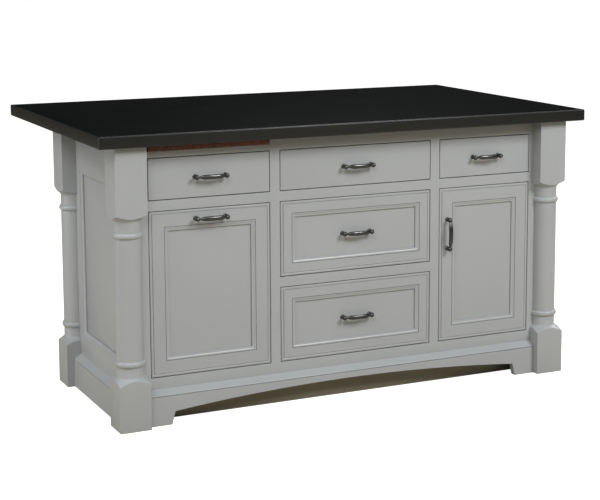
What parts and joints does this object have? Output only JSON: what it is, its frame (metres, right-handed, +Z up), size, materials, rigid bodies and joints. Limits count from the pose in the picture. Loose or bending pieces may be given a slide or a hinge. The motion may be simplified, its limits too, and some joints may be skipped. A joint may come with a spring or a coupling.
{
  "type": "kitchen island unit",
  "caption": "Free-standing kitchen island with turned corner posts, stone worktop, drawers, bin pull-out, hinged door and pull-out cutting board.",
  "frame": {"origin": "on the floor under the middle of the worktop", "axes": "+X along the front to the right, +Y from the front to the back, +Z up"},
  "size_m": [1.706, 1.024, 0.914],
  "materials": {
    "grey_paint": "satin paint",
    "black_stone": "polished",
    "toe_paint": "matt paint",
    "board_wood": "oiled",
    "birch_ply": "clear lacquer",
    "runner_wood": "waxed",
    "brushed_nickel": "brushed",
    "hinge_steel": "plated",
    "bin_plastic": "fine texture"
  },
  "bodies": {
    "cabinet": {"worktop": "black_stone", "post_front_left": "grey_paint", "post_front_right": "grey_paint", "post_back_left": "grey_paint", "post_back_right": "grey_paint", "face_frame": "grey_paint", "end_frame_right": "grey_paint", "end_frame_left": "grey_paint", "back_frame": "grey_paint", "skirting_front": "grey_paint", "skirting_right": "grey_paint", "skirting_left": "grey_paint", "skirting_back": "grey_paint", "back_panel": "grey_paint", "toe_board": "toe_paint", "side_left": "birch_ply", "side_right": "birch_ply", "partition_left": "birch_ply", "partition_right": "birch_ply", "bottom_deck": "birch_ply", "shelf": "birch_ply", "runner_left_left": "runner_wood", "runner_left_right": "runner_wood", "runner_centre_top_left": "runner_wood", "runner_centre_top_right": "runner_wood", "runner_centre_middle_left": "runner_wood", "runner_centre_middle_right": "runner_wood", "runner_centre_bottom_left": "runner_wood", "runner_centre_bottom_right": "runner_wood", "runner_right_left": "runner_wood", "runner_right_right": "runner_wood", "runner_waste_left": "runner_wood", "runner_waste_right": "runner_wood", "hinge_arm_upper": "hinge_steel", "hinge_arm_lower": "hinge_steel"},
    "drawer_left": {"drawer_left_front": "grey_paint", "drawer_left_pull": "brushed_nickel", "drawer_left_box": "birch_ply"},
    "drawer_centre_top": {"drawer_centre_top_front": "grey_paint", "drawer_centre_top_pull": "brushed_nickel", "drawer_centre_top_box": "birch_ply"},
    "drawer_centre_middle": {"drawer_centre_middle_front": "grey_paint", "drawer_centre_middle_pull": "brushed_nickel", "drawer_centre_middle_box": "birch_ply"},
    "drawer_centre_bottom": {"drawer_centre_bottom_front": "grey_paint", "drawer_centre_bottom_pull": "brushed_nickel", "drawer_centre_bottom_box": "birch_ply"},
    "drawer_right": {"drawer_right_front": "grey_paint", "drawer_right_pull": "brushed_nickel", "drawer_right_box": "birch_ply"},
    "waste_pullout": {"waste_front": "grey_paint", "waste_pull": "brushed_nickel", "waste_tray": "birch_ply", "waste_bin": "bin_plastic"},
    "right_door": {"door_right": "grey_paint", "door_pull": "brushed_nickel", "hinge_cup_upper": "hinge_steel", "hinge_cup_lower": "hinge_steel"},
    "cutting_board": {"cutting_board": "board_wood"}
  },
  "joints": [
    {"name": "drawer_left_slide", "type": "slide", "parent": "cabinet", "child": "drawer_left", "axis": [0, -1, 0], "range_m": [0, 0.34]},
    {"name": "drawer_centre_top_slide", "type": "slide", "parent": "cabinet", "child": "drawer_centre_top", "axis": [0, -1, 0], "range_m": [0, 0.34]},
    {"name": "drawer_centre_middle_slide", "type": "slide", "parent": "cabinet", "child": "drawer_centre_middle", "axis": [0, -1, 0], "range_m": [0, 0.34]},
    {"name": "drawer_centre_bottom_slide", "type": "slide", "parent": "cabinet", "child": "drawer_centre_bottom", "axis": [0, -1, 0], "range_m": [0, 0.34]},
    {"name": "drawer_right_slide", "type": "slide", "parent": "cabinet", "child": "drawer_right", "axis": [0, -1, 0], "range_m": [0, 0.34]},
    {"name": "waste_slide", "type": "slide", "parent": "cabinet", "child": "waste_pullout", "axis": [0, -1, 0], "range_m": [0, 0.34]},
    {"name": "right_door_hinge", "type": "hinge", "parent": "cabinet", "child": "right_door", "pos_m": [0.67975, -0.435, 0.4075], "axis": [0, 0, 1], "range_deg": [0, 100]},
    {"name": "cutting_board_slide", "type": "slide", "parent": "cabinet", "child": "cutting_board", "axis": [0, -1, 0], "range_m": [0, 0.32]}
  ]
}
